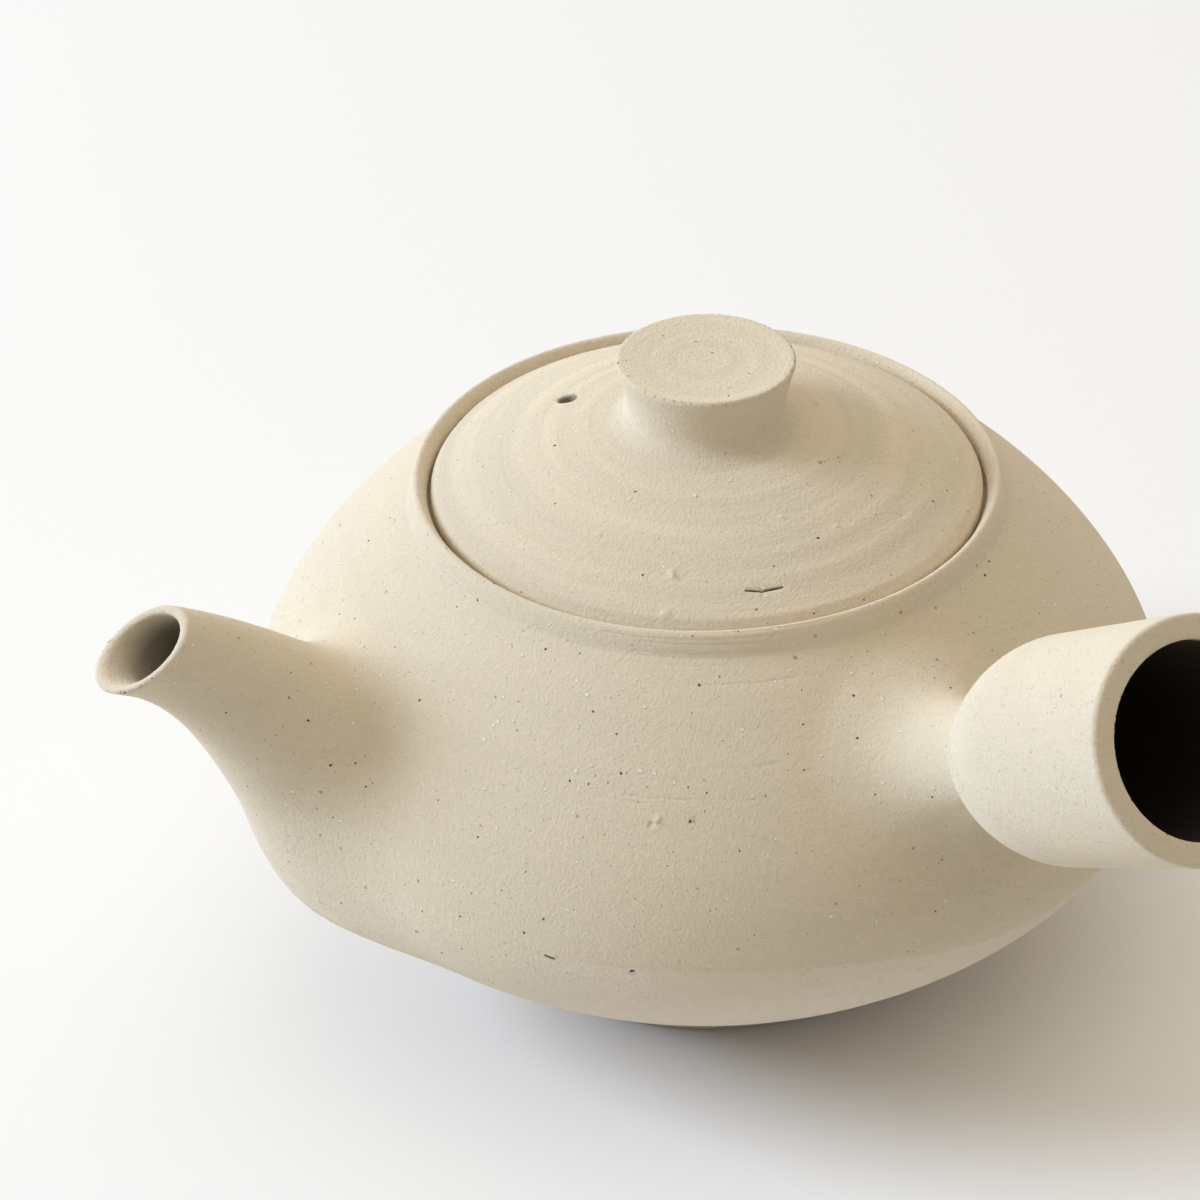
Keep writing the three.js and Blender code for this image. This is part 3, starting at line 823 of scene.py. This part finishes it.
clayLook = {
    "body": "#e1d4bd",
    "warm": "#e2d4b9",
    "trimmed": "#e8dac7",
    "grog": "#f6f0e4",
    "iron": "#33251a",
    "rust": "#a06c3c",
    "slate": "#8b9092",
    "paintedShade": "#241809",
    # colour of the painted shade down the bores, in the slits and in the vent
    "roughness": 0.9,
    "diffuseRoughness": 0.6,
    "ior": 1.5,
}
noises = {  # size in millimetres, detail, roughness
    "drift": (30, 3, 0.5),  # slow change from body to warm
    "mottle": (0.8, 4, 0.65),
    "sand": (0.4, 3, 0.7),  # real grains of 0.1 to 0.3 mm are too fine to show
    "grit": (0.5, 2, 0.5),
}
texture = {
    "relief": 0.26,  # millimetres, for a share of 1
    "sandRelief": 0.4,
    "mottleRelief": 0.45,
    "mottleShade": 0.03,  # lighter and darker by this share
    "gritReach": 0.4,  # how far the grit frays the specks, in millimetres
    "lines": 0.8,  # fine lines from the tool, in millimetres
    "lineRelief": 0.3,
    "levelStretch": 0.02,  # the lines change this much slower round the pot than up it
    "ringStretch": 0.04,
    "trimmedSpecks": 0.3,  # share of a speck's strength that is left where the clay was trimmed
    "barrelSpecks": 0.35,  # and on the handle's barrel
    "barrelFrom": (-78, -68),  # the barrel's place along Y
}
throwing = {  # broad bands from the fingers: their size in millimetres, their shade and their relief
    "pot": {"size": 6, "shade": 0.02, "relief": 0.3},
    "lid": {"size": 3, "shade": 0.06, "relief": 0.8},
}
lidSpecks = 0.6  # the lid shows fewer specks than the pot
speckEdge = 0.05  # from clear to full, in millimetres
specks = [  # spacing and largest radius in millimetres, share of places that hold one
    {"cell": 0.85, "radius": 0.19, "share": 0.55, "seed": 0, "colour": "grog", "depth": 0.75, "rise": 0.5},
    {"cell": 2, "radius": 0.33, "share": 0.6, "seed": 0.07, "colour": "grog", "depth": 0.7, "rise": 0.8},
    {"cell": 4.4, "radius": 0.5, "share": 0.35, "seed": 0.11, "colour": "grog", "depth": 0.75, "rise": 1.1},
    {"cell": 3, "radius": 0.28, "share": 0.5, "seed": 0.37, "colour": "rust", "depth": 0.6, "rise": 0},
    {"cell": 6, "radius": 0.42, "share": 0.5, "seed": 0.53, "colour": "slate", "depth": 0.7, "rise": 0},
    {"cell": 0.95, "radius": 0.13, "share": 0.5, "seed": 0.29, "colour": "iron", "depth": 0.6, "rise": 0},
    {"cell": 1.8, "radius": 0.22, "share": 0.5, "seed": 0.23, "colour": "iron", "depth": 0.9, "rise": 0},
]


def addSpecks(tree, coords, speck, plenty):
    cell, radius, seed = speck["cell"], speck["radius"], speck["seed"]
    moved = addNode(tree, "Mapping", {"Location": (seed, seed * 0.7, seed * 0.3)}, {"Vector": coords})
    dots = addNode(tree, "TexVoronoi", {"Scale": 1000 / cell}, {"Vector": moved.outputs[0]})
    parts = addNode(tree, "SeparateColor", links={0: dots.outputs["Color"]})
    sizes = {3: 0.35 * radius / cell, 4: radius / cell}
    size = addNode(tree, "MapRange", sizes, {0: parts.outputs[0]}).outputs[0]
    gap = dots.outputs["Distance"]
    within = addNode(tree, "Math", {"operation": "SUBTRACT"}, {0: size, 1: gap}).outputs[0]
    edge = {"operation": "MULTIPLY", "use_clamp": True, 1: cell / speckEdge}
    dot = addNode(tree, "Math", edge, {0: within}).outputs[0]
    some = {"operation": "LESS_THAN", 1: speck["share"] * plenty}
    there = addNode(tree, "Math", some, {0: parts.outputs[1]}).outputs[0]
    return addNode(tree, "Math", {"operation": "MULTIPLY"}, {0: dot, 1: there}).outputs[0]


def addShade(tree, colour, noise, share):  # lighter and darker with the noise
    shade = addNode(tree, "MapRange", {1: 0.3, 2: 0.7, 3: 1 - share, 4: 1 + share}, {0: noise}).outputs[0]
    return addNode(tree, "VectorMath", {"operation": "MULTIPLY"}, {0: colour, 1: shade}).outputs[0]


def addTrimmed(tree, coords):  # 1 below the trimming line
    flat = addNode(tree, "VectorMath", {"operation": "MULTIPLY", 1: (1000, 1000, 0)}, {0: coords}).outputs[0]
    dipPlace = {"operation": "DISTANCE", 1: (*pot["trimDipPlace"], 0)}
    away = addNode(tree, "VectorMath", dipPlace, {0: flat}).outputs["Value"]
    share = addNode(tree, "Math", {"operation": "DIVIDE", 1: pot["trimDipWidth"]}, {0: away}).outputs[0]
    square = addNode(tree, "Math", {"operation": "MULTIPLY"}, {0: share, 1: share}).outputs[0]
    fall = addNode(tree, "Math", {"operation": "POWER", 0: math.exp(-1)}, {1: square}).outputs[0]
    dip = {"operation": "MULTIPLY_ADD", 1: -pot["trimDip"], 2: pot["trimHeight"]}
    line = addNode(tree, "Math", dip, {0: fall}).outputs[0]
    parts = addNode(tree, "SeparateXYZ", links={0: coords})
    height = parts.outputs["Z"]
    below = addNode(tree, "Math", {"operation": "MULTIPLY_ADD", 1: -1000}, {0: height, 2: line}).outputs[0]
    under = addNode(tree, "MapRange", {1: -0.1, 2: 0.7}, {0: below}).outputs[0]
    fadeStart, fadeEnd = (place / 1000 for place in pot["trimFade"])
    fade = addNode(tree, "MapRange", {1: fadeStart, 2: fadeEnd}, {0: parts.outputs["X"]}).outputs[0]
    return addNode(tree, "Math", {"operation": "MULTIPLY"}, {0: under, 1: fade}).outputs[0]


def addSlitShade(tree, flat, mark):  # 1 along a slit in the lid, seen from above, where shade is painted into the slit
    markTurn, radius, length, slope, width, _ = mark
    turn, slope = math.radians(markTurn), math.radians(slope)
    outward = Vector((math.cos(turn), math.sin(turn), 0))
    onward = Vector((-math.sin(turn), math.cos(turn), 0))
    run = (onward * math.cos(slope) + outward * math.sin(slope)) * length / 1000
    start = outward * radius / 1000 - run / 2
    offset = addNode(tree, "VectorMath", {"operation": "SUBTRACT", 1: start}, {0: flat}).outputs[0]
    along = {"operation": "DOT_PRODUCT", 1: run / run.length_squared}
    share = addNode(tree, "VectorMath", along, {0: offset}).outputs["Value"]
    share = addNode(tree, "Math", {"operation": "ADD", "use_clamp": True, 1: 0}, {0: share}).outputs[0]
    closest = addNode(tree, "VectorMath", {"operation": "SCALE", 0: run}, {"Scale": share}).outputs[0]
    gap = addNode(tree, "VectorMath", {"operation": "DISTANCE"}, {0: offset, 1: closest}).outputs["Value"]
    edge = {1: width * 0.7 / 1000, 2: width * 1.6 / 1000, 3: 1, 4: 0}
    return addNode(tree, "MapRange", edge, {0: gap}).outputs[0]


def stoneware(name, ringed):
    # Unglazed stoneware, fired pale and left as it came off the wheel. It looks matte and sandy, with
    # pale grog that stands a little proud, dark iron specks and faint lines from throwing and trimming.
    material = bpy.data.materials.new(name)
    material.use_nodes = True
    tree = material.node_tree
    tree.nodes.clear()
    coords = addNode(tree, "TexCoord").outputs["Object"]
    noise = {}
    for kind, (size, detail, roughness) in noises.items():
        settings = {"Scale": 1000 / size, "Detail": detail, "Roughness": roughness}
        noise[kind] = addNode(tree, "TexNoise", settings, {"Vector": coords})
    if ringed:  # lines run round the lid's middle
        flat = addNode(tree, "VectorMath", {"operation": "MULTIPLY", 1: (1, 1, 0)}, {0: coords}).outputs[0]
        away = addNode(tree, "VectorMath", {"operation": "LENGTH"}, {0: flat}).outputs["Value"]
        rings = addNode(tree, "CombineXYZ", links={2: away}).outputs[0]
        stretch = {"operation": "SCALE", "Scale": texture["ringStretch"]}
        slow = addNode(tree, "VectorMath", stretch, {0: flat}).outputs[0]
        lineCoords = addNode(tree, "VectorMath", {"operation": "ADD"}, {0: rings, 1: slow}).outputs[0]
    else:  # lines run level round the pot
        stretch = {"operation": "MULTIPLY", 1: (texture["levelStretch"], texture["levelStretch"], 1)}
        lineCoords = addNode(tree, "VectorMath", stretch, {0: coords}).outputs[0]
    thrown = throwing["lid" if ringed else "pot"]
    settings = {"Scale": 1000 / thrown["size"], "Detail": 3}
    bands = addNode(tree, "TexNoise", settings, {"Vector": lineCoords}).outputs["Fac"]
    settings = {"Scale": 1000 / texture["lines"], "Detail": 3, "Roughness": 0.6}
    lines = addNode(tree, "TexNoise", settings, {"Vector": lineCoords}).outputs["Fac"]
    bodies = {"data_type": "RGBA", 6: clayLook["body"], 7: clayLook["warm"]}
    colour = addNode(tree, "Mix", bodies, {0: noise["drift"].outputs["Fac"]}).outputs[2]
    colour = addShade(tree, colour, bands, thrown["shade"])
    speckShare = None
    if not ringed:
        trimmed = addTrimmed(tree, coords)
        tint = {"data_type": "RGBA", 7: clayLook["trimmed"]}
        colour = addNode(tree, "Mix", tint, {0: trimmed, 6: colour}).outputs[2]
        left = addNode(tree, "MapRange", {3: 1, 4: texture["trimmedSpecks"]}, {0: trimmed}).outputs[0]
        start, end = (place / 1000 for place in texture["barrelFrom"])
        across = addNode(tree, "SeparateXYZ", links={0: coords}).outputs["Y"]
        onBarrel = {1: start, 2: end, 3: texture["barrelSpecks"], 4: 1}
        barrel = addNode(tree, "MapRange", onBarrel, {0: across}).outputs[0]
        speckShare = addNode(tree, "Math", {"operation": "MULTIPLY"}, {0: left, 1: barrel}).outputs[0]
    mottle = noise["mottle"].outputs["Fac"]
    colour = addShade(tree, colour, mottle, texture["mottleShade"])
    relief = [
        (noise["sand"].outputs["Fac"], texture["sandRelief"]),
        (lines, texture["lineRelief"]),
        (bands, thrown["relief"]),
        (mottle, texture["mottleRelief"]),
    ]
    fray = {"operation": "MULTIPLY_ADD", 1: (texture["gritReach"] / 1000,) * 3}
    frayed = addNode(tree, "VectorMath", fray, {0: noise["grit"].outputs["Color"], 2: coords}).outputs[0]
    for speck in specks:
        mask = addSpecks(tree, frayed, speck, lidSpecks if ringed else 1)
        if speck["rise"]:
            relief.append((mask, speck["rise"]))
        mask = addNode(tree, "Math", {"operation": "MULTIPLY", 1: speck["depth"]}, {0: mask}).outputs[0]
        if speckShare:
            mask = addNode(tree, "Math", {"operation": "MULTIPLY"}, {0: mask, 1: speckShare}).outputs[0]
        tint = {"data_type": "RGBA", 7: clayLook[speck["colour"]]}
        colour = addNode(tree, "Mix", tint, {0: mask, 6: colour}).outputs[2]
    # painted shade: the clay turns dark down the bores, in the vent and in the slits, where shade falls
    dark = [addNode(tree, "Attribute", {"attribute_name": "paintedShade"}).outputs["Fac"]]
    if ringed:
        dark += [addSlitShade(tree, flat, mark) for mark in lid["marks"] if mark[-1] < slitRise]
    for mask in dark:
        tint = {"data_type": "RGBA", 7: clayLook["paintedShade"]}
        colour = addNode(tree, "Mix", tint, {0: mask, 6: colour}).outputs[2]
    height = None
    for source, share in relief:
        links = {0: source, 2: height} if height else {0: source}
        height = addNode(tree, "Math", {"operation": "MULTIPLY_ADD", 1: share, 2: 0}, links).outputs[0]
    proud = {"Strength": 1, "Distance": texture["relief"] / 1000}
    bump = addNode(tree, "Bump", proud, {"Height": height}).outputs[0]
    surface = {
        "Roughness": clayLook["roughness"],
        "Diffuse Roughness": clayLook["diffuseRoughness"],
        "IOR": clayLook["ior"],
    }
    shader = addNode(tree, "BsdfPrincipled", surface, {"Base Color": colour, "Normal": bump})
    addNode(tree, "OutputMaterial", links={"Surface": shader.outputs[0]})
    return material


potClay = stoneware("unglazedStonewarePot", False)
lidClay = stoneware("unglazedStonewareLid", True)
for piece, clay, body, slotName, nodes in (
    (potSkin, potClay, "pot", "pot_stoneware", ("pot_body", "spout", "handle")),
    (strainerSkin, potClay, "pot", "pot_stoneware", ("strainer",)),
    (lidSkin, lidClay, "lid", "lid_stoneware", ("lid", "lid_knob")),
):
    piece.data.materials.append(clay)
    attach(piece, body)
    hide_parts(*nodes)
print("clay pieces dressed")


# Stage: a white table, a large soft light from the left and behind, and an even fill
stage = {
    "floorSize": 6,
    "floorColour": "#efedea",
    "background": 0.955,
    "shadowFill": 0.03,  # how far the floor's shadow is lifted, for the camera alone
    "keyPlace": (-1.95, 1.035, 1.17),
    "keyAim": (0, 0, 0.04),
    "keySize": 1.2,
    "keyPower": 68,
    "keyColour": "#d4e6ff",
    "skyColour": "#fff7e8",
    "sky": [  # from where, how strong, how narrow
        ((0, 0, 1), 1.27, 2),
        ((0.883, -0.469, 0), 0.05, 1),
        ((0.469, 0.883, 0), 0.45, 1),
    ],
}


def makeStage():
    bpy.ops.mesh.primitive_plane_add(size=stage["floorSize"])
    floor = bpy.context.object
    floor.name = "table"
    paper = bpy.data.materials.new("whitePaper")  # matte and even, so that only the shadow shows
    paper.use_nodes = True
    tree = paper.node_tree
    tree.nodes.clear()
    shader = addNode(
        tree,
        "BsdfPrincipled",
        {"Base Color": stage["floorColour"], "Roughness": 1, "Specular IOR Level": 0},
    )
    glow = addNode(tree, "Emission", {"Strength": stage["background"]})
    seen = addNode(tree, "LightPath").outputs["Is Camera Ray"]
    share = addNode(tree, "Math", {"operation": "MULTIPLY", 1: stage["shadowFill"]}, {0: seen}).outputs[0]
    both = addNode(tree, "MixShader", links={0: share, 1: shader.outputs[0], 2: glow.outputs[0]})
    addNode(tree, "OutputMaterial", links={"Surface": both.outputs[0]})
    floor.data.materials.append(paper)
    world = bpy.data.worlds.new("studio")
    bpy.context.scene.world = world
    world.use_nodes = True
    tree = world.node_tree
    tree.nodes.clear()
    rays = addNode(tree, "LightPath")
    seen = rays.outputs["Is Camera Ray"]
    for kind in ("Is Glossy Ray", "Is Transmission Ray"):
        seen = addNode(tree, "Math", {"operation": "MAXIMUM"}, {0: seen, 1: rays.outputs[kind]}).outputs[0]
    direction = addNode(tree, "TexCoord").outputs["Generated"]
    total = 0
    for side, power, narrowness in stage["sky"]:
        facing = addNode(tree, "VectorMath", {"operation": "DOT_PRODUCT", 1: side}, {0: direction})
        light = addNode(tree, "Math", {"operation": "MAXIMUM", 1: 0}, {0: facing.outputs["Value"]}).outputs[0]
        light = addNode(tree, "Math", {"operation": "POWER", 1: narrowness}, {0: light}).outputs[0]
        added = addNode(tree, "Math", {"operation": "MULTIPLY_ADD", 1: power, 2: 0}, {0: light})
        if total:
            tree.links.new(total, added.inputs[2])
        total = added.outputs[0]
    strength = addNode(tree, "MapRange", {4: stage["background"]}, {0: seen, 3: total})
    tints = {"data_type": "RGBA", 6: stage["skyColour"], 7: "#ffffff"}
    tint = addNode(tree, "Mix", tints, {0: seen}).outputs[2]
    glow = addNode(tree, "Background", links={"Color": tint, "Strength": strength.outputs[0]})
    addNode(tree, "OutputWorld", links={"Surface": glow.outputs[0]})
    data = bpy.data.lights.new("keyLight", "AREA")
    data.shape = "DISK"
    data.size = stage["keySize"]
    data.energy = stage["keyPower"]
    data.color = linear(stage["keyColour"])[:3]
    key = bpy.data.objects.new("keyLight", data)
    bpy.context.scene.collection.objects.link(key)
    key.location = stage["keyPlace"]
    aim = Vector(stage["keyAim"]) - key.location
    key.rotation_euler = aim.to_track_quat("-Z", "Y").to_euler()


makeStage()
bpy.context.scene.view_settings.view_transform = "Standard"
print("stage set")
